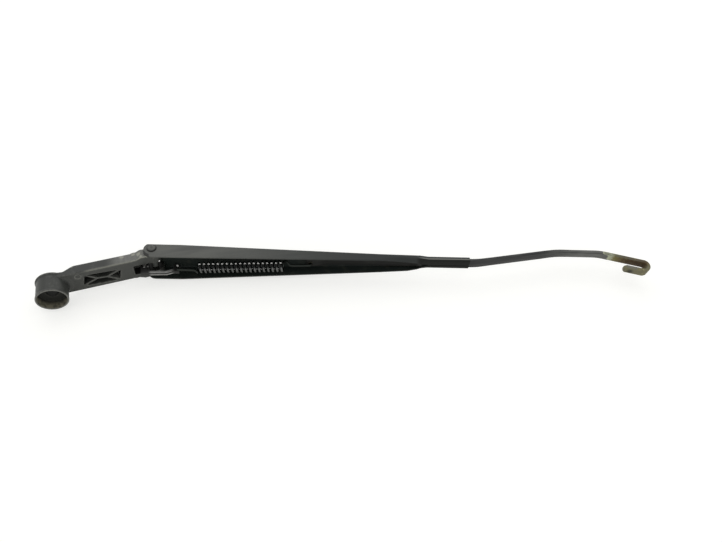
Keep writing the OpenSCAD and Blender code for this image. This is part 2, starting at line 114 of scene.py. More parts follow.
class ChannelForm(PropertyGroup):
    """Sizes of the folded channel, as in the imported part."""
    slope: angle("Slope", "Fall of the arm from the hinge, against the plane of the boss mouth", 12.3)
    sheet: length("Sheet", "Thickness of the sheet", 1.1)
    web_over: length("Web height", "Outside of the web above the hinge pin", 5.5)
    height: length("Height", "Outer height at the hinge", 14.7)
    height_taper: number("Height taper", "Height lost for each unit of length", 0.0392)
    width_taper: number("Width taper", "Width lost for each unit of length", 0.0741)
    corner: length("Corner", "Outer radius between web and wall", 1.6)
    fold: length("Fold length", "Length of sheet in the rounded lower fold", 2.4)
    flap: length("Flap", "Sheet below the fold while the channel is open", 1.2)
    last_flap: length("Last flap", "The same just before the clamp", 2.4)
    parallel_end: length("Parallel end", "Where the taper starts", 23)
    fold_start: length("Near fold", "Where the near wall starts to turn in", 196)
    far_fold: length("Far fold", "Where the far wall starts to turn in", 222)
    wall_end: length("Wall end", "Where both walls close on the bar", 232)
    clamp_start: length("Clamp start", "Start of the clamp", 240)
    clamp_end: length("Clamp end", "End of the clamp and the sheet", 277.6)
    web_start: length("Web start", "Start of the web, from the hinge", 3)
    wall_start: length("Wall start", "Walls reach this far behind the hinge", 6.7)
    round_top: length("Top rounding", "Radius of the wall's end at the top", 5.6)
    round_low: length("Low rounding", "Radius of the wall's end at the free edge", 7.4)
    seam: length("Seam", "Gap between the two flaps under the bar", 0.6)
    seam_shift: length("Seam shift", "Seam off the bar's middle", 0.9)
    edge: length("Edge radius", "Rounding of the sheet's edges", 0.28)


class BarForm(PropertyGroup):
    """Sizes of the flat bar and its hook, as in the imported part."""
    width: length("Width", "Width of the bar", 9)
    thick: length("Thickness", "Thickness of the bar", 3)
    edge: length("Edge radius", "Rounding of the long edges", 0.6)
    shift: length("Side shift", "Middle of the bar off the middle of the arm", -0.7)
    start: length("Start", "Inner end of the bar, from the hinge", 130)
    joggle: length("Joggle", "Step of the inner end away from the web", 2.2)
    rise_start: length("Rise start", "Where the bar starts to climb", 284.6)
    rise_end: length("Rise end", "Where it levels out", 362.6)
    rise: length("Rise", "Height of the climb", 14.4)
    level_end: length("Level end", "Where it dips to the hook", 404.5)
    dip: angle("Dip", "Fall of the hook's leg against the bar", 15.1)
    leg_start: length("Leg start", "Start of the hook's straight leg", 430)
    bend_at: length("Bend", "Middle of the hook's bend", 444.1)
    gap: length("Gap", "Clear gap of the hook", 6.3)
    tail: length("Return leg", "Length of the return leg", 17.6)
    tip: length("Tip", "Cut corners of the tip", 2.4)
    rise_twist: angle("Twist in the climb", "Turn of the bar along the climb", 3)
    hook_twist: angle("Twist at the hook", "Turn of the bar at the hook", 11)
    twist_run: length("Twist run", "Length over which the twist grows", 14)
    hole_at: length("Hole", "Hole for the spring, from the hinge", 134.4)
    hole_side: length("Hole side", "Hole off the middle of the arm", 0.3)
    hole: length("Hole radius", "Radius of the hole", 1.7)


class SpringForm(PropertyGroup):
    """Sizes of the tension spring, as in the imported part."""
    wire: length("Wire", "Wire diameter", 2.2)
    outer: length("Outer diameter", "Outer diameter of the coils", 10.2)
    turns: number("Turns", "Number of turns", 19.5)
    start_x: length("Start along", "First coil, along the row frame", 115.9)
    start_z: length("Start height", "First coil, height in the row frame", 13.9)
    end_x: length("End along", "Last coil, along the row frame", 189.6)
    end_z: length("End height", "Last coil, height in the row frame", 1.3)
    side: length("Side", "Axis of the spring off the middle of the arm", 1.2)
    plate: length("Plate", "Thickness of the link that it hooks into", 3)
    eye_x: length("Eye along", "Hole of the link from the cross pin, along", 26.5)
    eye_z: length("Eye height", "Hole of the link from the cross pin, up", -6.3)
    steps: IntProperty(name="Steps", description="Steps for each turn", default=36, min=12)
    start_turn: angle("Start turn", "Angle at which the first coil starts", 285)


class Finish(PropertyGroup):
    """Colours of paint, metal, rust and dirt, some of which also paint light and shade."""
    cast_paint: colour("Cast paint", "Paint on the cast head", (0.032, 0.034, 0.031))
    sheet_paint: colour("Sheet paint", "Paint outside the channel", (0.017, 0.020, 0.019))
    inside_paint: colour("Inside paint", "Thin paint inside the channel", (0.014, 0.019, 0.017))
    bar_paint: colour("Bar paint", "Paint on the bar", (0.018, 0.019, 0.019))
    # The dust tone also paints light: a sheen and fill light on the head, a lighter sheet towards the hinge
    # and a highlight line on the clamp.
    dust: colour("Dust", "Road dust on paint", (0.15, 0.152, 0.140))
    bare: colour("Bare metal", "Cast metal where paint has gone", (0.30, 0.30, 0.255))
    # The rubbed edge tone also paints a highlight round the rim of the boss mouth.
    edge: colour("Rubbed edge", "Thin paint on rubbed edges", (0.17, 0.17, 0.155))
    verdigris: colour("Side deposit", "Grey green deposit on the sides of the bar", (0.11, 0.115, 0.09))
    zinc: colour("Zinc", "Weathered zinc on the bar", (0.44, 0.46, 0.33))
    stain: colour("Stain", "Yellow stain on zinc", (0.16, 0.14, 0.050))
    rust: colour("Rust", "Brown rust", (0.078, 0.046, 0.019))
    # The grime tone also paints shade: in the cup, between the ears, on the channel's upward faces, round the
    # rivet, along the wall's end, on the clamp, on the bar inside the channel and on the coils' flanks.
    grime: colour("Grime", "Black grease and grime in the joints", (0.011, 0.011, 0.010))
    soil: colour("Soil", "Dry dirt in the boss", (0.22, 0.205, 0.15))
    steel: colour("Steel", "Dark steel of the pins", (0.20, 0.20, 0.19))
    wire: colour("Wire", "Polished wire of the coils", (0.06, 0.064, 0.064))
    oxide: colour("Oxide", "Dark oxide on the wire", (0.035, 0.040, 0.036))
    link_steel: colour("Link", "Dark finish of the link", (0.024, 0.024, 0.023))
    # The rubbed steel tone also paints the highlights on the spring and the link.
    rubbed: colour("Rubbed steel", "Steel rubbed bright", (0.85, 0.85, 0.83))
    smear: colour("Smear", "Oily smears on the pins", (0.09, 0.09, 0.0855))
    table: colour("Table", "White table", (0.88, 0.88, 0.86))


class StageForm(PropertyGroup):
    """Camera, lamps and floor."""
    world_level: number("World level", "Even light from all round", 0.85)
    lamp_level: number("Lamp level", "Power of the broad lamp, in watts", 1.6)
    lamp_size: length("Lamp size", "Side of the broad lamp", 900)
    side_level: number("Side lamp level", "Power of the lamp on the right, in watts", 0.6)
    side_size: length("Side lamp size", "Side of the lamp on the right", 380)
    floor_size: length("Floor", "Side of the floor", 5000)
    focal: length("Focal length", "Focal length on a 36 mm frame", 32.3)


# Geometry in the frame of the part

def along_arm(u, y, w):
    """Points u along the arm, y across it and w above the hinge pin: the pair (u, w) is turned down by the
    slope and moved to the hinge."""
    slope = bpy.context.scene.channel_form.slope
    u, y, w = np.broadcast_arrays(u, y, w)
    x = HINGE[0] + u * np.cos(slope) + w * np.sin(slope)
    z = HINGE[2] - u * np.sin(slope) + w * np.cos(slope)
    return np.stack([x, y + HINGE[1], z], axis=-1)


def between(u, *stops):
    """Straight lines between (place, value) stops, level outside them."""
    return np.interp(u, [s[0] for s in stops], [s[1] for s in stops])


def smooth_path(points, radii, steps=6):
    """A line through the points with each inner corner cut back by its radius and bridged by a parabola."""
    points = [np.array(p, float) for p in points]
    pieces = [points[0][None]]
    t = np.linspace(0, 1, steps + 1)[:, None]
    for before, corner, after, radius in zip(points, points[1:], points[2:], radii):
        a = corner + (before - corner) / np.linalg.norm(before - corner) * radius
        b = corner + (after - corner) / np.linalg.norm(after - corner) * radius
        pieces.append((1 - t) ** 2 * a + 2 * t * (1 - t) * corner + t ** 2 * b)
    return np.concatenate(pieces + [points[-1][None]])


def refine(path, step):
    """The same line with extra points, so that no stretch is longer than step."""
    parts = [np.linspace(a, b, max(1, int(np.ceil(np.linalg.norm(b - a) / step))), endpoint=False)
             for a, b in zip(path, path[1:])]
    return np.concatenate(parts + [path[-1:]])


def grid_mesh(name, points, ring=False, ends=False, keep=None):
    """Quads between neighbouring points[row, column]. ring joins the last column to the first, ends closes
    the first and last rows, keep is a mask of the quads that stay. Closed meshes are turned so that their
    faces look out."""
    rows, columns = points.shape[:2]
    index = np.arange(rows * columns).reshape(rows, columns)
    here, beside = (index, np.roll(index, -1, axis=1)) if ring else (index[:, :-1], index[:, 1:])
    quads = np.stack([here[:-1], beside[:-1], beside[1:], here[1:]], axis=-1)
    quads = quads.reshape(-1, 4) if keep is None else quads[keep]
    faces = quads.tolist() + ([index[0][::-1].tolist(), index[-1].tolist()] if ends else [])
    flat = points.reshape(-1, 3)
    if ring:
        a, b, c = flat[quads[:, 0]], flat[quads[:, 1]], flat[quads[:, 2]]
        if np.einsum("ij,ij->", a - flat.mean(0), np.cross(b - a, c - a)) < 0:
            faces = [face[::-1] for face in faces]
    mesh = bpy.data.meshes.new(name)
    mesh.from_pydata(flat.tolist(), [], faces)
    mesh.shade_smooth()
    return mesh


def piece(name, mesh, slot, *materials):
    """An object at the origin with its materials. The record's slot is not used."""
    thing = bpy.data.objects.new(name, mesh)
    bpy.context.scene.collection.objects.link(thing)
    for material in materials:
        mesh.materials.append(material)
    return thing


def tube(path, radius, sides, side0):
    """A circle carried along the path. Its side vector is carried from point to point, less its part along
    the path."""
    steps = np.gradient(path, axis=0)
    tangent = steps / np.linalg.norm(steps, axis=1, keepdims=True)
    side = np.empty_like(path)
    carried = np.array(side0, float)
    for i, t in enumerate(tangent):
        carried = carried - carried @ t * t
        carried /= np.linalg.norm(carried)
        side[i] = carried
    other = np.cross(tangent, side)
    turn = np.linspace(0, 2 * np.pi, sides, endpoint=False)[None, :, None]
    radius = np.broadcast_to(radius, len(path))[:, None, None]
    return path[:, None] + radius * (np.cos(turn) * side[:, None] + np.sin(turn) * other[:, None])


def lathe(centre, profile, sides):
    """A profile of (radius, place across) turned about the line through centre that runs across the part."""
    turn = np.linspace(0, 2 * np.pi, sides, endpoint=False)
    r, y = np.array(profile, float).T[:, :, None] * MM
    points = np.stack(np.broadcast_arrays(r * np.cos(turn), y, r * np.sin(turn)), axis=-1)
    return points + centre


def copy_of(node, name):
    """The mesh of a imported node, copied and merged."""
    mesh = bpy.data.meshes.new(name)
    work = bmesh.new()
    work.from_mesh(frame["nodes"][node].data)
    bmesh.ops.remove_doubles(work, verts=work.verts, dist=1e-7)
    bmesh.ops.dissolve_limit(work, angle_limit=np.radians(0.5), verts=work.verts, edges=work.edges)
    work.to_mesh(mesh)
    work.free()
    return mesh


def values_of(group, name, width, kind):
    """One property of each member of a group, as the rows of an array."""
    values = np.empty(len(group) * width, kind)
    group.foreach_get(name, values)
    return values.reshape(-1, width)


def carry(mesh, name, values):
    """Gives the mesh one value for each point."""
    mesh.attributes.new(name, "FLOAT", "POINT").data.foreach_set("value", values.ravel().astype(np.float32))


def mark_edges(mesh, reach, sharp):
    """Attribute edge on the points, 1 where the surface bends outward. It is the mean of the slope to the
    neighbours, (place - middle of neighbours) along the normal, over reach, smoothed twice."""
    count = len(mesh.vertices)
    place = values_of(mesh.vertices, "co", 3, np.float32)
    normal = values_of(mesh.vertex_normals, "vector", 3, np.float32)
    a, b = values_of(mesh.edges, "vertices", 2, np.int32).T
    number = np.bincount(a, minlength=count) + np.bincount(b, minlength=count)

    def mean(values):
        return (np.bincount(a, values[b], count) + np.bincount(b, values[a], count)) / np.maximum(number, 1)

    middle = np.stack([mean(place[:, k]) for k in range(3)], 1)
    bend = np.einsum("ij,ij->i", place - middle, normal) / reach
    for _ in range(2):
        bend = (bend + mean(bend)) / 2
    carry(mesh, "edge", np.clip(bend / sharp, 0, 1))


def finish_modifiers(thing):
    """Puts the result of the modifiers into the mesh."""
    bpy.context.view_layer.update()
    seen = thing.evaluated_get(bpy.context.evaluated_depsgraph_get())
    mesh = bpy.data.meshes.new_from_object(seen)
    thing.modifiers.clear()
    thing.data = mesh
    mesh.shade_smooth()


def modifier(thing, kind, **values):
    """One modifier with its settings."""
    made = thing.modifiers.new(kind.title(), kind)
    for key, value in values.items():
        setattr(made, key, value)


# Materials

# Spots that a finish picks out: the place in the frame of the part and how far it reaches, in metres
CHIPS = (((0.0565, -0.0112, 0.0262), 0.0040), ((0.0701, -0.0125, 0.0259), 0.0046),
         ((0.0722, -0.0133, 0.0224), 0.0026), ((0.0767, -0.0130, 0.0214), 0.0020),
         ((0.0659, -0.0112, 0.0275), 0.0034), ((0.0170, -0.0108, 0.0235), 0.0030))
EJECTOR_MARK = ((0.02086, -0.0060, 0.0157), 0.0060)
LEG_SPOT = ((0.5022, 0.0022, -0.0642), 0.0046)
# EYE_GLINT and LINK_GLINTS are spots of painted highlight.
EYE_GLINT = ((0.1007, -0.0023, 0.0158), 0.0018)
LINK_GLINTS = (((0.0727, -0.0003, 0.0212), 0.0015), ((0.0757, -0.0003, 0.0215), 0.0014))


class Look:
    """One material: its node tree with short calls for the patterns that the finishes share. A tone is the
    name of a colour of the finish, or a socket; base is the colour so far."""

    def __init__(self, name, tone, roughness=0.45, metallic=0.0):
        self.material = bpy.data.materials.new(name)
        self.material.use_nodes = True
        self.tree = self.material.node_tree
        self.shader = self.tree.nodes["Principled BSDF"]
        self.base = tone
        self.paint("Base Color", self.colour(tone))
        self.paint("Roughness", roughness)
        self.paint("Metallic", metallic)
        self.where = self.add("ShaderNodeTexCoord").outputs["Object"]

    def add(self, kind, inputs=(), **settings):
        """A node with its settings, and its inputs given as pairs of name or number and value or socket."""
        node = self.tree.nodes.new(kind)
        for key, value in settings.items():
            setattr(node, key, value)
        for key, value in inputs:
            self.feed(node.inputs[key], value)
        return node

    def feed(self, socket, value):
        """Links a socket to another one, or sets it to a constant."""
        if isinstance(value, bpy.types.NodeSocket):
            self.tree.links.new(value, socket)
        else:
            socket.default_value = value

    def colour(self, tone):
        """The colour of a tone. A socket stays as it is."""
        if isinstance(tone, bpy.types.NodeSocket):
            return tone
        return (*getattr(bpy.context.scene.finish, tone), 1.0)

    def paint(self, name, value):
        """Gives a value or a socket to the shader."""
        self.feed(self.shader.inputs[name], value)

    def join(self, operation, *parts):
        """The parts joined one after the other by one operation. A tuple stands for the soft step with its
        values."""
        first, *others = (self.step(*part) if isinstance(part, tuple) else part for part in parts)
        for other in others:
            first = self.add("ShaderNodeMath", [(0, first), (1, other)], operation=operation).outputs[0]
        return first

    def product(self, *parts):
        """The parts multiplied."""
        return self.join("MULTIPLY", *parts)

    def total(self, *parts):
        """The parts added."""
        return self.join("ADD", *parts)

    def less(self, value, *parts):
        """The value less the parts."""
        return self.join("SUBTRACT", value, *parts)

    def largest(self, *parts):
        """The largest of the parts."""
        return self.join("MAXIMUM", *parts)

    def unsigned(self, value):
        """The value without its sign."""
        return self.join("ABSOLUTE", value, 0.0)

    def distance(self, a, b):
        """Length of a line that runs a one way and b square to it."""
        return self.join("SQRT", self.total(self.product(a, a), self.product(b, b)), 0.0)

    def step(self, value, low, high, to_low=0.0, to_high=1.0):
        """A soft step: to_low at low, to_high at high, level beyond them. low may lie above high."""
        pairs = [("Value", value), ("From Min", low), ("From Max", high), ("To Min", to_low),
                 ("To Max", to_high)]
        return self.add("ShaderNodeMapRange", pairs, interpolation_type="SMOOTHSTEP").outputs["Result"]

    def band(self, value, low, rise, fall, high):
        """1 from rise to fall, softly down to 0 at low and at high."""
        return self.product(self.step(value, low, rise), self.step(value, high, fall))

    def noise(self, size, detail=3.0, stretch=(1, 1, 1), rough=0.5):
        """Noise whose features are about size metres across, stretched along the axes."""
        shrink = [1 / s for s in stretch]
        scaled = self.add("ShaderNodeVectorMath", [(0, self.where), (1, shrink)], operation="MULTIPLY")
        pairs = [("Vector", scaled.outputs[0]), ("Scale", 1 / size), ("Detail", detail), ("Roughness", rough)]
        return self.add("ShaderNodeTexNoise", pairs).outputs["Fac"]

    def mix(self, share, a, b):
        """Tone a, with tone b where share is 1."""
        node = self.add("ShaderNodeMix", [("Factor", share)], data_type="RGBA")
        for socket, tone in zip((s for s in node.inputs if s.type == "RGBA"), (a, b)):
            self.feed(socket, self.colour(tone))
        return next(s for s in node.outputs if s.type == "RGBA")

    def cover(self, tone, *parts):
        """Lays a tone over the colour so far, where the product of the parts is 1."""
        self.base = self.mix(self.product(*parts), self.base, tone)
        self.paint("Base Color", self.base)

    def bump(self, height, depth, strength):
        """Fine relief, depth metres deep."""
        pairs = [("Height", height), ("Distance", depth), ("Strength", strength)]
        self.paint("Normal", self.add("ShaderNodeBump", pairs).outputs["Normal"])

    def axes(self):
        """The place in the frame of the object, as X, Y and Z."""
        return self.add("ShaderNodeSeparateXYZ", [(0, self.where)]).outputs

    def normal(self, name):
        """One part of the surface's direction in the frame of the object."""
        facing = self.add("ShaderNodeTexCoord").outputs["Normal"]
        return self.add("ShaderNodeSeparateXYZ", [(0, facing)]).outputs[name]

    def attribute(self, name):
        """A value that the mesh carries on its points."""
        return self.add("ShaderNodeAttribute", attribute_name=name).outputs["Fac"]

    def near(self, point, radius):
        """1 at the point, falling to 0 at the radius."""
        far = self.add("ShaderNodeVectorMath", [(0, self.where), (1, point)], operation="DISTANCE")
        return self.step(far.outputs["Value"], 0.0, radius, 1.0, 0.0)

    def away(self, point):
        """Distance from a line across the part through the point."""
        x, _, z = self.axes()
        return self.distance(self.less(x, point[0]), self.less(z, point[2]))


def cast_paint():
    """Satin paint on a casting: dust, a painted sheen on the near side towards the hinge and painted fill
    light on the faces that look down, rubbed edges (attribute edge), chips down to bare metal, the ring of an
    ejector mark, a painted highlight round the rim of the mouth, painted shade and dry dirt in the cup,
    painted shade between the ears and a fine grain."""
    look = Look("cast_paint", "cast_paint")
    x, y, z = look.axes()
    edge = look.attribute("edge")
    broad = look.noise(0.010, 3)
    mottle = look.noise(0.0022, 4, rough=0.6)
    dusty = look.step(look.total(broad, look.product(mottle, 0.4)), 0.70, 1.05, 0.0, 0.3)
    # Painted sheen: the near side faces grow lighter towards the hinge, in the dust tone, mottled.
    outside = look.step(look.normal("Y"), -0.5, -0.8)
    dust_and_sheen = look.product(outside, (x, 0.042, 0.056), (mottle, 0.3, 0.7, 0.7, 1.0))
    # Painted fill light: the faces that look down are made lighter with the dust tone.
    under = look.step(look.normal("Z"), -0.6, -0.85, 0.0, 0.22)
    look.cover("dust", look.largest(dusty, dust_and_sheen, under))
    look.cover("edge", edge, (mottle, 0.38, 0.62, 0.1, 0.7))
    chips = look.largest(*(look.near(*chip) for chip in CHIPS))
    rubbed = look.noise(0.0011, 5, stretch=(2.5, 1, 1), rough=0.7)
    worn = look.step(look.total(look.product(chips, 0.55), rubbed), 0.72, 0.92, 0.0, 0.75)
    look.cover("bare", worn)
    low = look.less(z, look.product(x, 0.105))
    lip = look.product((y, -0.0080, -0.0095), (low, 0.0156, 0.0146), (x, 0.024, 0.032))
    look.cover("bare", lip, edge, 0.85)
    look.cover("edge", look.band(look.near(*EJECTOR_MARK), 0.50, 0.58, 0.70, 0.80), 0.6)
    radius = look.distance(x, y)
    cup = look.product((radius, 0.0115, 0.0112), (z, 0.0175, 0.0165))
    # Painted shade: the inside of the cup is darkened with the grime tone, and reflects less deep inside
    # (hidden).
    look.cover("grime", cup, 0.6)
    clods = look.step(look.noise(0.004, 4), 0.35, 0.6, 0.35, 1.0)
    soil = look.product(cup, (z, 0.0086, 0.0030), clods)
    look.cover("soil", soil)
    across = look.unsigned(look.normal("Y"))
    # Painted shade: the inner faces between the ears are darkened with the grime tone and reflect less
    # (hidden).
    slot = look.product((look.unsigned(y), 0.0078, 0.0070), (x, 0.060, 0.064), (across, 0.4, 0.8))
    look.cover("grime", slot)
    # Painted highlight: a mottled light line round the rim of the boss mouth, in the rubbed edge tone.
    painted_rim_highlight = look.product((z, 0.0006, 0.0002), (radius, 0.0108, 0.0112))
    look.cover("edge", painted_rim_highlight, (mottle, 0.3, 0.6, 0.4, 0.9))
    hidden = look.largest(slot, look.product(cup, (z, 0.004, 0.008)))
    look.paint("Specular IOR Level", look.step(hidden, 0.0, 1.0, 0.32, 0.1))
    look.paint("Roughness", look.step(look.total(soil, look.product(broad, 0.4)), 0.1, 1.1, 0.36, 0.8))
    grain = look.noise(0.0005, 2)
    look.bump(look.less(look.product(grain, 0.6), look.product(worn, 0.8)), 0.00008, 0.5)
    return look.material


def sheet_paint():
    """Satin paint outside the channel: dust streaks and painted light, lighter towards the hinge; painted
    shade on the web and its bend, which look up, round the rivet's head and along the rounded end of the
    wall; a painted shadow band and a painted highlight line on the clamp; and a fine peel."""
    look = Look("sheet_paint", "sheet_paint")
    x, y, z = look.axes()
    streaks = look.noise(0.006, 4, stretch=(7, 1, 1))
    # Dust streaks and painted light: the sheet is lighter towards the hinge, standing in for the fall of
    # light along the arm.
    look.cover("dust", (x, 0.12, 0.265, 1.0, 0.0), (streaks, 0.3, 0.75, 0.36, 0.62))
    # Painted shade: the faces that look up, the web and its bend, are darkened.
    look.cover("grime", (look.normal("Z"), 0.12, 0.4), 0.75)
    off = look.away(HINGE)
    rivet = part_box("hinge_pin")[1].z - HINGE[2]
    # Painted shade: a dark ring round the rivet's head.
    ring = look.band(off, rivet - 0.0009, rivet - 0.0002, rivet + 0.0002, rivet + 0.0006)
    look.cover("grime", ring, (look.unsigned(y), 0.0135, 0.0145), 0.9)
    # Painted shadow: a dark line along the rounded end of the wall, below and behind the hinge.
    seam = look.product((x, HINGE[0] - 0.0020, HINGE[0] - 0.0035), (z, HINGE[2] - 0.0008, HINGE[2] - 0.0020))
    look.cover("grime", (off, 0.0061, 0.0066), seam, 0.9)
    high = look.total(z, look.product(look.less(x, 0.326), 0.21))
    # Painted shadow: a dark band across the clamp, which also reflects less.
    painted_clamp_shadow = look.product((high, -0.0234, -0.0239), (x, 0.303, 0.309))
    look.cover("grime", painted_clamp_shadow, 0.8)
    # Painted highlight: a light line along the clamp, in the dust tone.
    painted_clamp_highlight = look.band(high, -0.0236, -0.0230, -0.0224, -0.0218)
    look.cover("dust", painted_clamp_highlight, (x, 0.306, 0.312), (look.normal("Y"), -0.5, -0.9),
               (streaks, 0.2, 0.6, 0.8, 1.0))
    look.paint("Specular IOR Level", look.step(painted_clamp_shadow, 0.0, 1.0, 0.32, 0.12))
    look.paint("Roughness", look.step(streaks, 0.2, 0.8, 0.40, 0.54))
    look.bump(look.noise(0.0011, 3), 0.00004, 0.35)
    return look.material


def inside_paint():
    """Thin dark paint inside the channel, with a little dirt."""
    look = Look("inside_paint", "inside_paint", roughness=0.5)
    look.cover("soil", (look.noise(0.008, 4), 0.5, 0.8, 0.0, 0.1))
    look.paint("Specular IOR Level", 0.25)
    look.bump(look.noise(0.0014, 3), 0.00005, 0.4)
    return look.material


def bar_finish():
    """Dark paint that ends in a slanting chipped line, then weathered zinc, a yellow stain and rust round the
    hook, with a painted dark reflection along one arris and painted shade where the bar lies inside the
    channel. It follows the attribute along, the length of bar from the tip, and across, from edge to edge."""
    look = Look("bar_finish", "zinc")
    along, across = look.attribute("along"), look.attribute("across")
    ragged = look.less(look.noise(0.0022, 5, rough=0.7), 0.5)
    place = look.total(along, look.product(ragged, 0.005))
    patches = look.noise(0.0035, 5, rough=0.65)
    spots = look.noise(0.0013, 4, rough=0.7)
    look.cover("dust", (spots, 0.45, 0.7, 0.0, 0.5))
    stain = look.product((place, 0.0625, 0.0585), (patches, 0.2, 0.5, 0.6, 1.0))
    look.cover("stain", stain)
    hook = look.band(place, 0.0225, 0.0300, 0.0500, 0.0590)
    rusty = look.product(hook, (patches, 0.25, 0.55, 0.45, 1.0))
    look.cover("rust", rusty)
    look.cover("dust", (place, 0.0290, 0.0240), (patches, 0.30, 0.62, 0.1, 0.5))
    look.cover("rust", (place, 0.058, 0.050), (spots, 0.60, 0.70))
    side = look.product((across, -0.0038, -0.0043), (patches, 0.30, 0.6, 0.15, 0.75))
    look.cover("verdigris", side, (along, 0.024, 0.045))
    look.cover("dust", side, (along, 0.013, 0.011))
    look.cover("grime", look.near(*LEG_SPOT), 0.95)
    streaks = look.noise(0.004, 4, stretch=(8, 1, 1))
    paint = look.mix(look.step(streaks, 0.45, 0.8, 0.0, 0.3), "bar_paint", "dust")
    # Painted dark reflection: a dark line along the arris between side and broad face, where the paint is
    # lighter.
    painted_dark_arris = look.band(across, -0.0045, -0.0041, -0.0036, -0.0032)
    rubbed = look.product((along, 0.132, 0.088), (streaks, 0.25, 0.7, 0.45, 0.8),
                          (painted_dark_arris, 0.0, 1.0, 1.0, 0.2))
    slant = look.total(place, (across, -0.0046, -0.0030, 0.0, 0.0052), look.product(across, 0.2))
    painted = look.step(slant, 0.0692, 0.0698)
    look.cover(look.mix(rubbed, paint, "dust"), painted)
    # Painted shade: the bar is darkened and reflects less where it lies inside the channel.
    painted_shade_in_channel = look.step(look.axes()[0], 0.318, 0.300)
    look.cover("grime", painted_shade_in_channel, 0.8)
    look.cover("zinc", look.band(slant, 0.0679, 0.0690, 0.0694, 0.0700))
    look.paint("Specular IOR Level", look.step(painted_shade_in_channel, 0.0, 1.0, 0.34, 0.12))
    look.paint("Roughness", look.step(painted, 0.0, 1.0, 0.68, 0.42))
    look.paint("Metallic", look.step(look.total(painted, rusty, stain), 0.0, 0.6, 0.35, 0.0))
    pitted = look.product(spots, (painted, 1.0, 0.0, 0.1, 0.9))
    look.bump(look.total(look.product(painted, 0.9), pitted), 0.00012, 0.6)
    return look.material


def pin_steel():
    """Bare dark steel with oily smears and lighter worn specks."""
    look = Look("pin_steel", "steel", metallic=1.0)
    smear = look.noise(0.005, 4)
    look.cover("smear", (smear, 0.35, 0.7, 0.0, 0.6))
    look.cover("bare", (look.noise(0.0012, 4, rough=0.7), 0.58, 0.75, 0.0, 0.5))
    look.paint("Roughness", look.step(smear, 0.3, 0.75, 0.24, 0.5))
    look.bump(look.noise(0.0009, 3), 0.00003, 0.3)
    return look.material


def spring_wire():
    """Hard drawn wire: painted highlights on the crests of the coils and at the hook's eye, painted shade on
    their flanks and faint painted light below, with dark oxide in smears and on the leads and hooks
    (attribute oxide).
    over is the height over the spring's own line."""
    look = Look("spring_wire", "wire", metallic=1.0)
    form = bpy.context.scene.spring_form
    slope = (form.end_z - form.start_z) / (form.end_x - form.start_x)
    x, _, z = look.axes()
    over = look.less(z, form.start_z, look.product(look.less(x, form.start_x), slope))
    leads = look.attribute("oxide")
    coils = look.step(leads, 0.5, 0.0)
    oxide = look.largest(leads, (look.noise(0.004, 4, rough=0.6), 0.45, 0.7, 0.0, 0.75))
    look.cover("oxide", oxide)
    # Painted shade: a dark band on the flanks of the coils.
    look.cover("grime", look.band(over, -0.0042, -0.0036, -0.0019, -0.0015), 0.85)
    # Painted light: the lower side of the coils and the far lead are made a little lighter.
    far_lead = look.step(x, 0.190, 0.194)
    look.cover("rubbed", (over, -0.0040, -0.0046), look.largest(coils, far_lead), 0.12)
    # Painted highlights on the crests of the coils and at the hook's eye, not metallic so that they stay
    # bright.
    painted_crest_highlight = look.band(over, -0.0015, -0.0010, 0.0, 0.0006)
    painted_crest_highlight = look.product(painted_crest_highlight, coils, (look.normal("Y"), -0.5, -0.8))
    bright = look.largest(painted_crest_highlight, (look.near(*EYE_GLINT), 0.1, 0.4))
    look.cover("rubbed", bright)
    look.paint("Metallic", look.step(bright, 0.0, 1.0, 1.0, 0.0))
    look.paint("Roughness", look.step(oxide, 0.0, 1.0, 0.2, 0.45))
    look.bump(look.noise(0.0006, 3), 0.00002, 0.25)
    return look.material


def link_finish():
    """Dark phosphate finish, with painted highlights along both arrises of the plate under the hinge and at
    two spots by the cross pin, in faint streaks."""
    look = Look("link_finish", "link_steel", roughness=0.38)
    x, y, z = look.axes()
    # Painted highlights along both arrises of the plate and painted glints at two spots by the cross pin, in
    # the rubbed steel tone.
    sides = look.largest((look.normal("Y"), -0.6, -0.9), (y, 0.0012, 0.0017))
    under = look.band(x, 0.0755, 0.0785, 0.0935, 0.0975)
    painted_arris_highlight = look.product(sides, under, (z, 0.0185, 0.0165, 0.0, 0.45))
    glints = look.largest(*(look.near(*spot) for spot in LINK_GLINTS))
    bright = look.largest(painted_arris_highlight, (glints, 0.15, 0.6))
    streaks = look.noise(0.0025, 4, stretch=(3, 1, 1), rough=0.6)
    look.cover("rubbed", bright, (streaks, 0.35, 0.65, 0.75, 1.0))
    look.paint("Metallic", look.step(bright, 0.0, 1.0, 0.3, 0.9))
    look.bump(look.noise(0.0008, 3), 0.00004, 0.4)
    return look.material


# Pieces

def build_head():
    """The casting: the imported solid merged, remeshed into small cubes and smoothed, which rounds each
    edge."""
    cube = 0.36 * MM
    head = piece("cast_head", copy_of("arm_head", "cast_head"), "cast_head", cast_paint())
    modifier(head, "REMESH", mode="VOXEL", voxel_size=cube, use_smooth_shade=True)
    modifier(head, "SMOOTH", factor=0.5, iterations=4)
    finish_modifiers(head)
    mark_edges(head.data, cube, 0.12)
    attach(head, "head")
    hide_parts("arm_head")


def turned_pin(name, centre, end, sides, slot, material):
    """A pin turned from the profile of one end, which is mirrored to the other: (radius, place across) in
    millimetres, from the middle outwards."""
    profile = [(r, -y) for r, y in end] + end[::-1]
    return piece(name, grid_mesh(name, lathe(centre, profile, sides), ring=True, ends=True), slot, material)


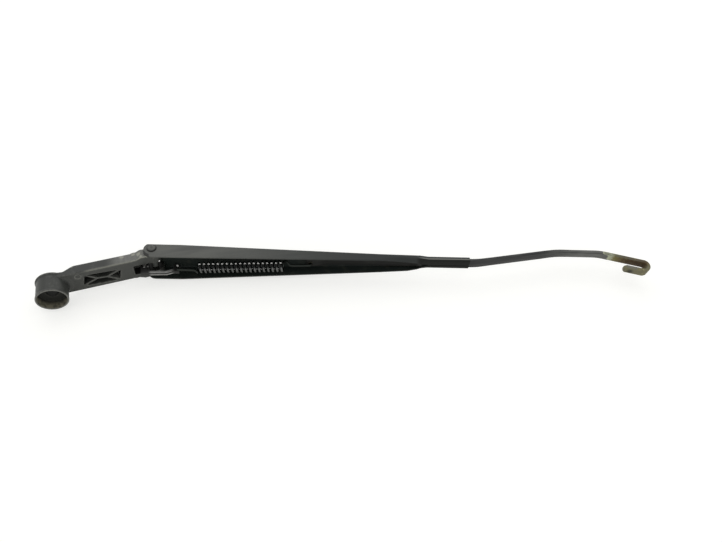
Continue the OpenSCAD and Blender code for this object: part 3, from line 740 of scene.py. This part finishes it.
def build_pins():
    """Hinge rivet with two dimpled heads, and the cross pin of the link."""
    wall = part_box("arm_channel")[1].y / MM
    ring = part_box("hinge_pin")[1]
    radius = (ring.z - HINGE[2]) / MM
    tip = ring.y / MM - wall
    head = [(0.05, tip - 0.55), (0.7, tip - 0.45), (1.05, tip - 0.1), (1.5, tip), (radius - 1.5, tip - 0.12),
            (radius - 0.8, tip - 0.4), (radius - 0.25, tip - 0.8), (radius, tip - 1.15), (radius - 0.05, 0.1),
            (radius - 0.2, 0.0)]
    shaft = (2.7, wall - 0.05)
    end = [(r, wall + y) for r, y in head] + [shaft]
    rivet = turned_pin("hinge_rivet", HINGE, end, 64, "painted_sheet", sheet_paint())
    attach(rivet, "arm")
    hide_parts("hinge_pin")
    low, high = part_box("hook_pin")
    middle = np.array([CROSS_PIN[0], (low.y + high.y) / 2, CROSS_PIN[2]])
    radius, half = (high.z - low.z) / 2 / MM, (high.y - low.y) / 2 / MM
    end = [(0.05, half), (radius - 0.4, half), (radius - 0.1, half - 0.1), (radius, half - 0.4)]
    pin = turned_pin("cross_pin", middle, end, 48, "pin_steel", pin_steel())
    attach(pin, "head")
    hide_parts("hook_pin")


def channel_half(form, u, side):
    """Half of the sheet's middle line at station u, from the middle of the web to the free edge: a level
    stretch, a quarter turn, the wall, a fold that turns in by its own angle, and the flap. Each run is
    (chords, length, heading at its start, turn over its length), and the steps along the headings are added
    up."""
    bar = bpy.context.scene.bar_form
    clamp_w = bar.width + 2 * (form.sheet + PLAY)
    clamp_h = bar.thick + 2 * (form.sheet + PLAY)
    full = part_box("arm_channel")[1].y
    radius = form.corner - form.sheet / 2
    fold_radius = form.fold / (np.pi / 2)
    taper = np.maximum(u - form.parallel_end, 0)
    half_at_end = full - form.width_taper * (form.wall_end - form.parallel_end) / 2
    half = np.where(u < form.wall_end, full - form.width_taper * taper / 2,
                    between(u, (form.wall_end, half_at_end), (form.clamp_start, clamp_w / 2)))
    nearly_flat, closed = 0.5, 90
    if side < 0:
        turned = between(u, (form.fold_start, nearly_flat), (form.fold_start + 12 * MM, 14),
                         (form.wall_end, 74), (form.clamp_start, closed))
    else:
        turned = between(u, (form.far_fold, nearly_flat), (form.wall_end, 40), (form.clamp_start, closed))
    turned = np.radians(turned)
    open_flap = between(u, (form.fold_start, form.flap), (form.fold_start + 16 * MM, form.last_flap))
    closed_flap = clamp_w / 2 - form.sheet / 2 - fold_radius - form.seam / 2 - side * form.seam_shift
    closing = between(u, (form.wall_end, form.last_flap), (form.clamp_start, closed_flap))
    flap = np.where(u < form.wall_end, open_flap, closing)
    drop = form.fold * np.sin(turned) / turned + open_flap * np.cos(turned)
    free = form.height - form.height_taper * taper - form.sheet / 2 - radius - drop
    clamp_wall = clamp_h - form.sheet - radius - fold_radius
    wall_last = np.interp(form.wall_end, u, free)
    closing = between(u, (form.wall_end, wall_last), (form.clamp_start, clamp_wall))
    wall = np.where(u < form.wall_end, free, closing)
    none, quarter = 0 * u, np.pi / 2 + 0 * u
    corner = radius * np.pi / 2 * 0.996  # five chords of a quarter turn are this much shorter than the turn
    runs = [(10, half - form.corner, none, none), (5, corner, none, quarter), (8, wall, quarter, none),
            (6, form.fold, quarter, turned), (3, flap, quarter + turned, none)]
    steps, headings = [], []
    for count, total, start, turn in runs:
        share = (np.arange(count) + 0.5) / count
        steps.append(np.broadcast_to(np.asarray(total)[..., None] / count, (len(u), count)))
        headings.append(start[:, None] + turn[:, None] * share)
    steps, headings = np.concatenate(steps, 1), np.concatenate(headings, 1)
    zero = np.zeros((len(u), 1))
    y = np.concatenate([zero, np.cumsum(steps * np.cos(headings), 1)], 1)
    w = np.concatenate([zero, np.cumsum(-steps * np.sin(headings), 1)], 1)
    shift = between(u, (form.fold_start, 0.0), (form.clamp_start, bar.shift))
    return side * y + shift[:, None], w + form.web_over - form.sheet / 2


def build_channel():
    """The folded sheet: the middle surface as a grid of stations and places across, whose first stations
    follow the rounded ends of the walls and the straight end of the web, given the thickness of the sheet
    and rounded edges."""
    form = bpy.context.scene.channel_form
    stations = np.concatenate([np.linspace(form.parallel_end, form.fold_start, 30),
                               np.linspace(form.fold_start, form.clamp_start, 34)[1:],
                               np.linspace(form.clamp_start, form.clamp_end, 10)[1:]])
    left, right = channel_half(form, stations, -1), channel_half(form, stations, 1)
    y = np.concatenate([left[0][:, ::-1], right[0][:, 1:]], 1)
    w = np.concatenate([left[1][:, ::-1], right[1][:, 1:]], 1)
    top, low = form.web_over, form.web_over - form.height
    up = np.clip((w[0] - (top - form.round_top)) / form.round_top, 0, 1)
    down = np.clip(((low + form.round_low) - w[0]) / form.round_low, 0, 1)
    back = form.round_top * (1 - np.sqrt(1 - up ** 2)) + form.round_low * (1 - np.sqrt(1 - down ** 2))
    start = back - form.wall_start
    web = np.abs(y[0]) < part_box("arm_channel")[1].y - form.sheet
    start = np.where(web, form.web_start, start)
    ends = 13
    share = np.linspace(0, 1, ends, endpoint=False)[:, None]
    u = np.concatenate([start + share * (form.parallel_end - start),
                        np.broadcast_to(stations[:, None], y.shape)])
    y = np.concatenate([np.broadcast_to(y[0], (ends, y.shape[1])), y])
    w = np.concatenate([np.broadcast_to(w[0], (ends, w.shape[1])), w])
    middle_u, middle_y, middle_w = ((grid[:-1, :-1] + grid[1:, 1:]) / 2 for grid in (u, y, w))
    notch_at, notch_half, inner, outer, upper = np.array([232.5, 2.5, 1.4, 4.4, 3.3]) * MM
    beside = np.abs(middle_u - notch_at) < notch_half
    notch = beside & (middle_y > inner) & (middle_y < outer) & (middle_w < upper)
    mesh = grid_mesh("channel", along_arm(u, y, w)[:, ::-1], keep=~notch[:, ::-1])
    channel = piece("sheet_channel", mesh, "painted_sheet", sheet_paint(), inside_paint())
    modifier(channel, "SOLIDIFY", thickness=form.sheet, offset=0, use_even_offset=True, material_offset=1)
    modifier(channel, "BEVEL", width=form.edge, segments=3, limit_method="ANGLE", angle_limit=np.radians(50))
    finish_modifiers(channel)
    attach(channel, "arm")
    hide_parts("arm_channel")


def bar_frames(form):
    """Middle line of the bar with its side and up vectors in the frame of the arm: straight stretches with
    rounded corners and a growing twist, then the hook's leg, a half circle and the return leg in the hook's
    own frame."""
    web = bpy.context.scene.channel_form
    level = web.web_over - web.sheet - PLAY - form.thick / 2
    high = level + form.rise
    leg_w = high - (form.leg_start - form.level_end) * np.tan(form.dip)
    corners = [(form.start, level - form.joggle), (form.start + 11 * MM, level - form.joggle),
               (form.start + 18 * MM, level), (form.rise_start, level), (form.rise_end, high),
               (form.level_end, high), (form.leg_start, leg_w)]
    line = refine(smooth_path(corners, np.array([2.5, 2.5, 6, 7, 6]) * MM), 2.5 * MM)
    run = form.twist_run
    twist = between(line[:, 0], (form.rise_start - 2 * MM, 0), (form.rise_start + run, form.rise_twist),
                    (form.rise_end - run, form.rise_twist), (form.rise_end + run, form.hook_twist))
    climb = np.arctan2(*np.gradient(line, axis=0).T[::-1])
    climb[-1] = -form.dip
    zero = 0 * climb
    normal = np.stack([-np.sin(climb), zero, np.cos(climb)], -1)
    across = np.array([0.0, 1.0, 0.0])
    side = np.cos(twist)[:, None] * across + np.sin(twist)[:, None] * normal
    up = -np.sin(twist)[:, None] * across + np.cos(twist)[:, None] * normal
    place = np.stack([line[:, 0], form.shift + zero, line[:, 1]], -1)
    bend = (form.gap + form.thick) / 2
    leg = (form.bend_at - form.leg_start) / np.cos(form.dip)
    turn = np.linspace(0, np.pi, 40)
    back = np.concatenate([np.linspace(0, form.tail - form.tip, 8)[1:],
                           form.tail - form.tip * np.linspace(1, 0, 8)[1:]])
    hook = np.concatenate([
        np.stack([np.linspace(0, leg, 6)[1:-1]] + [np.zeros(4)] * 2, -1),
        np.stack([leg + bend * np.sin(turn), 0 * turn, bend * (np.cos(turn) - 1)], -1),
        np.stack([leg - back, 0 * back, 0 * back - 2 * bend], -1)])
    hook_turn = np.concatenate([np.zeros(4), turn, np.full(len(back), np.pi)])
    hook_up = np.stack([np.sin(hook_turn), 0 * hook_turn, np.cos(hook_turn)], -1)
    turned = np.array(Matrix.Rotation(form.dip, 3, "Y") @ Matrix.Rotation(form.hook_twist, 3, "X"))
    place = np.concatenate([place, np.array([form.leg_start, form.shift, leg_w]) + hook @ turned.T])
    side = np.concatenate([side, np.broadcast_to(turned @ across, hook.shape)])
    up = np.concatenate([up, hook_up @ turned.T])
    return place, side, up


def rounded_section(half_w, half_t, radius, steps=4):
    """A rectangle with round corners, as (side, up) for each station: four quarter circles about the inner
    corners."""
    turn = np.linspace(0, np.pi / 2, steps + 1)
    signs = np.array([(1, 1), (-1, 1), (-1, -1), (1, -1)])
    angles = np.concatenate([turn + k * np.pi / 2 for k in range(4)])
    sx, sy = np.repeat(signs, steps + 1, axis=0).T
    half_w = np.asarray(half_w)[:, None]
    half_t = np.asarray(half_t)[:, None]
    return sx * (half_w - radius) + radius * np.cos(angles), sy * (half_t - radius) + radius * np.sin(angles)


def build_bar():
    """The flat bar: a rounded rectangle carried along its frames, narrowed at the tip, with the spring's
    hole cut."""
    form = bpy.context.scene.bar_form
    place, side, up = bar_frames(form)
    run = np.concatenate([[0], np.cumsum(np.linalg.norm(np.diff(place, axis=0), axis=1))])
    from_tip = run[-1] - run
    soft = 0.4 * MM
    inset = np.maximum(soft - np.minimum(from_tip, run), 0)
    half_w = form.width / 2 - np.maximum(form.tip - from_tip, 0) - inset
    section = rounded_section(half_w, form.thick / 2 - inset, form.edge)
    points = place[:, None] + section[0][..., None] * side[:, None] + section[1][..., None] * up[:, None]
    slope = np.array(Matrix.Rotation(bpy.context.scene.channel_form.slope, 3, "Y"))
    mesh = grid_mesh("bar", HINGE + points @ slope.T, ring=True, ends=True)
    carry(mesh, "along", np.broadcast_to(from_tip[:, None], section[0].shape))
    carry(mesh, "across", section[0])
    bar = piece("flat_bar", mesh, "painted_bar", bar_finish())
    hole = along_arm(np.full(2, form.hole_at), form.hole_side, np.array([-6, 6]) * MM)
    turn = np.linspace(0, 2 * np.pi, 40, endpoint=False)[:, None]
    ring = form.hole * (np.cos(turn) * slope[:, 0] + np.sin(turn) * np.array([0, 1, 0]))
    drill = grid_mesh("cutter", hole[:, None] + ring[None], ring=True, ends=True)
    cutter = piece("cutter", drill, "painted_bar")
    modifier(bar, "BOOLEAN", operation="DIFFERENCE", object=cutter, solver="EXACT")
    finish_modifiers(bar)
    bpy.data.objects.remove(cutter)
    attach(bar, "arm")
    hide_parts("arm_rod")


def build_link():
    """The link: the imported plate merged, with its stamped edges rounded."""
    link = piece("link_plate", copy_of("hook_link", "link_plate"), "link_steel", link_finish())
    modifier(link, "BEVEL", width=0.35 * MM, segments=3, limit_method="ANGLE", angle_limit=np.radians(40))
    finish_modifiers(link)
    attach(link, "link")
    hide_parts("hook_link")


def spring_path(form):
    """Middle line of the wire in the spring's own frame: a hook through the link, a straight lead, a helix
    with equal steps along its axis, a lead and a hook through the bar."""
    bar, web = bpy.context.scene.bar_form, bpy.context.scene.channel_form
    start = np.array([form.start_x, form.start_z])
    reach = np.array([form.end_x, form.end_z]) - start
    long = np.linalg.norm(reach)
    dip = -np.arctan2(reach[1], reach[0])

    def local(point):
        x, z = point - start
        return np.array([x * np.cos(dip) - z * np.sin(dip), x * np.sin(dip) + z * np.cos(dip)])

    r = (form.outer - form.wire) / 2
    eye = local(CROSS_PIN[[0, 2]] + np.array([form.eye_x, form.eye_z]))
    level = web.web_over - web.sheet - PLAY - bar.thick / 2 - bar.joggle
    far = local(along_arm(bar.hole_at, 0, level)[[0, 2]])
    out = bar.hole_side - form.side
    face = form.plate / 2 + form.wire / 2 + 0.2 * MM
    first, last = form.start_turn, form.start_turn + 2 * np.pi * form.turns
    lead_in = smooth_path([
        (eye[0], form.plate / 2 + form.wire, eye[1]), (eye[0], -face, eye[1]),
        (eye[0] + 0.9 * MM, -face, -r - 0.6 * MM), (eye[0] + 3.4 * MM, -face, -r - 0.5 * MM),
        (-1.6 * MM, -0.6 * MM, -r + 0.6 * MM), (0, r * np.cos(first) - 0.5 * MM, r * np.sin(first))],
        np.array([1.6, 1.1, 0.9, 0.9]) * MM)
    lead_out = smooth_path([
        (long + 0.4 * MM, r * np.cos(last) - 0.8 * MM, r * np.sin(last)), (long + 2 * MM, -r * 0.86, r * 0.7),
        (long + 5.6 * MM, -0.8 * MM, -0.3 * MM), (far[0], out, -0.35 * MM),
        (far[0] + 0.25 * MM, out, far[1] + 1.8 * MM)], np.array([1.8, 2, 1.6]) * MM)
    share = np.linspace(0, 1, int(form.turns * form.steps) + 1)[1:-1]
    turn = first + 2 * np.pi * form.turns * share
    helix = np.stack([long * share, r * np.cos(turn), r * np.sin(turn)], -1)
    path = np.concatenate([lead_in, helix, lead_out])
    turned = np.array(Matrix.Rotation(dip, 3, "Y"))
    return path @ turned.T + np.array([form.start_x, form.side, form.start_z]), turned


def build_spring():
    """The tension spring: a round wire carried along its path. It stretches between link and far hook."""
    form = bpy.context.scene.spring_form
    path, turned = spring_path(form)
    points = tube(path, form.wire / 2, 14, turned @ np.array([0, 0, 1]))
    mesh = grid_mesh("coil_spring", points, ring=True, ends=True)
    along = (path - path[0]) @ turned[:, 0]
    ends = ((form.start_x, form.start_z), (form.end_x, form.end_z))
    first, last = ((np.array([x, form.side, z]) - path[0]) @ turned[:, 0] for x, z in ends)
    oxide = np.clip(np.maximum(first + 1.5 * MM - along, along - last + 2 * MM) / (2 * MM), 0, 1)
    carry(mesh, "oxide", np.repeat(oxide, points.shape[1]))
    spring = piece("coil_spring", mesh, "spring_steel", spring_wire())
    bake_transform(spring)
    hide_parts("tension_spring")


# Stage

WARM_WHITE = (1, 1, 0.985, 1)
PICTURE_RIGHT = np.array([0.96194, -0.08734, -0.25893])
PICTURE_UP = np.array([0.14587, -0.63712, 0.75684])
LENS_PLACE = np.array([0.1226, -0.4377, -0.3609])
BROAD_LAMP, SIDE_LAMP = (-0.40, -0.87, 0.76), (0.40, -0.72, 0.78)  # from the middle of the arm


def build_stage():
    """White table behind the arm, a broad soft lamp, a smaller one on the right, an even world, and the
    camera."""
    form = bpy.context.scene.stage_form
    scene = bpy.context.scene
    scene.view_settings.view_transform = "Standard"
    table_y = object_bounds()[1][1]
    half = form.floor_size / 2
    middle = (np.array(CAD_BOX[0]) + np.array(CAD_BOX[1])) / 2
    reach = np.array([-half, half])
    x, z = np.meshgrid(middle[0] + reach, middle[2] + reach, indexing="ij")
    table = grid_mesh("table", np.stack([x, np.full_like(x, table_y), z], -1)[::-1])
    floor = bpy.data.objects.new("table", table)
    scene.collection.objects.link(floor)
    table.materials.append(table_white())
    floor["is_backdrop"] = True
    world = bpy.data.worlds.new("even_light")
    world.use_nodes = True
    tree = world.node_tree
    back = tree.nodes["Background"]
    back.inputs["Color"].default_value = WARM_WHITE
    seen = tree.nodes.new("ShaderNodeLightPath")
    level = tree.nodes.new("ShaderNodeMapRange")
    level.inputs["To Min"].default_value = form.world_level
    tree.links.new(seen.outputs["Is Camera Ray"], level.inputs["Value"])
    tree.links.new(level.outputs["Result"], back.inputs["Strength"])
    scene.world = world
    for name, power, side, way in (("broad_lamp", form.lamp_level, form.lamp_size, BROAD_LAMP),
                                   ("side_lamp", form.side_level, form.side_size, SIDE_LAMP)):
        lamp = bpy.data.lights.new(name, "AREA")
        lamp.shape = "SQUARE"
        lamp.size = side
        lamp.energy = power
        holder = bpy.data.objects.new(name, lamp)
        place = Vector(middle) + Vector(way)
        turned = (Vector(middle) - place).to_track_quat("-Z", "Y").to_matrix().to_4x4()
        holder.matrix_world = Matrix.Translation(place) @ turned
        scene.collection.objects.link(holder)
    camera = bpy.data.cameras.new("camera")
    camera.lens = form.focal / MM
    camera.sensor_width = 36
    camera.clip_start = 0.01
    eye = bpy.data.objects.new("camera", camera)
    columns = np.stack([PICTURE_RIGHT, PICTURE_UP, np.cross(PICTURE_RIGHT, PICTURE_UP), LENS_PLACE], 1)
    eye.matrix_world = Matrix(np.vstack([columns, [0, 0, 0, 1]]).tolist())
    scene.collection.objects.link(eye)
    scene.camera = eye


def table_white():
    """White table: part of its white is its own for the camera, so that the shadow stays soft. It has one
    side only."""
    look = Look("table_white", "table", roughness=0.8)
    path = look.add("ShaderNodeLightPath")
    own = look.add("ShaderNodeEmission", [("Color", WARM_WHITE), ("Strength", 1.26)])
    share = look.product(path.outputs["Is Camera Ray"], 0.5)
    white = look.add("ShaderNodeMixShader", [(0, share), (1, look.shader.outputs[0]), (2, own.outputs[0])])
    clear = look.add("ShaderNodeBsdfTransparent")
    back = look.add("ShaderNodeNewGeometry").outputs["Backfacing"]
    both = look.add("ShaderNodeMixShader", [(0, back), (1, white.outputs[0]), (2, clear.outputs[0])])
    look.tree.links.new(both.outputs[0], look.tree.nodes["Material Output"].inputs["Surface"])
    return look.material


# Operators, one for each piece or group of like pieces, and the panel

class WIPER_OT_head(Operator):
    """Builds the cast head"""
    bl_idname = "wiper.head"
    bl_label = "Cast head"

    def execute(self, context):
        build_head()
        return {"FINISHED"}


class WIPER_OT_pins(Operator):
    """Builds the hinge rivet and the cross pin"""
    bl_idname = "wiper.pins"
    bl_label = "Pins"

    def execute(self, context):
        build_pins()
        return {"FINISHED"}


class WIPER_OT_channel(Operator):
    """Builds the folded channel"""
    bl_idname = "wiper.channel"
    bl_label = "Channel"

    def execute(self, context):
        build_channel()
        return {"FINISHED"}


class WIPER_OT_bar(Operator):
    """Builds the flat bar with its hook"""
    bl_idname = "wiper.bar"
    bl_label = "Bar and hook"

    def execute(self, context):
        build_bar()
        return {"FINISHED"}


class WIPER_OT_link(Operator):
    """Builds the link plate"""
    bl_idname = "wiper.link"
    bl_label = "Link"

    def execute(self, context):
        build_link()
        return {"FINISHED"}


class WIPER_OT_spring(Operator):
    """Builds the tension spring"""
    bl_idname = "wiper.spring"
    bl_label = "Spring"

    def execute(self, context):
        build_spring()
        return {"FINISHED"}


class WIPER_OT_stage(Operator):
    """Sets up table, lamps, world and camera"""
    bl_idname = "wiper.stage"
    bl_label = "Stage"

    def execute(self, context):
        build_stage()
        return {"FINISHED"}


STEPS = (WIPER_OT_stage, WIPER_OT_head, WIPER_OT_pins, WIPER_OT_channel, WIPER_OT_bar, WIPER_OT_link,
         WIPER_OT_spring)


class WIPER_PT_pieces(Panel):
    """Lists the steps that build the wiper arm"""
    bl_idname = "WIPER_PT_pieces"
    bl_label = "Wiper arm"
    bl_space_type = "VIEW_3D"
    bl_region_type = "UI"
    bl_category = "Wiper arm"

    def draw(self, context):
        for step in STEPS:
            self.layout.operator(step.bl_idname)


GROUPS = {"channel_form": ChannelForm, "bar_form": BarForm, "spring_form": SpringForm, "finish": Finish,
          "stage_form": StageForm}


def register():
    """Registers the classes and gives each group of settings to the scene."""
    for kind in (*GROUPS.values(), *STEPS, WIPER_PT_pieces):
        bpy.utils.register_class(kind)
    for name, kind in GROUPS.items():
        setattr(bpy.types.Scene, name, PointerProperty(type=kind))


def unregister():
    """Takes back what register gave."""
    for name in GROUPS:
        delattr(bpy.types.Scene, name)
    for kind in reversed((*GROUPS.values(), *STEPS, WIPER_PT_pieces)):
        bpy.utils.unregister_class(kind)


def main():
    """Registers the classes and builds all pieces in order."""
    register()
    wiper = bpy.ops.wiper
    for build in (wiper.stage, wiper.head, wiper.pins, wiper.channel, wiper.bar, wiper.link, wiper.spring):
        build()


if __name__ == "__main__":
    main()
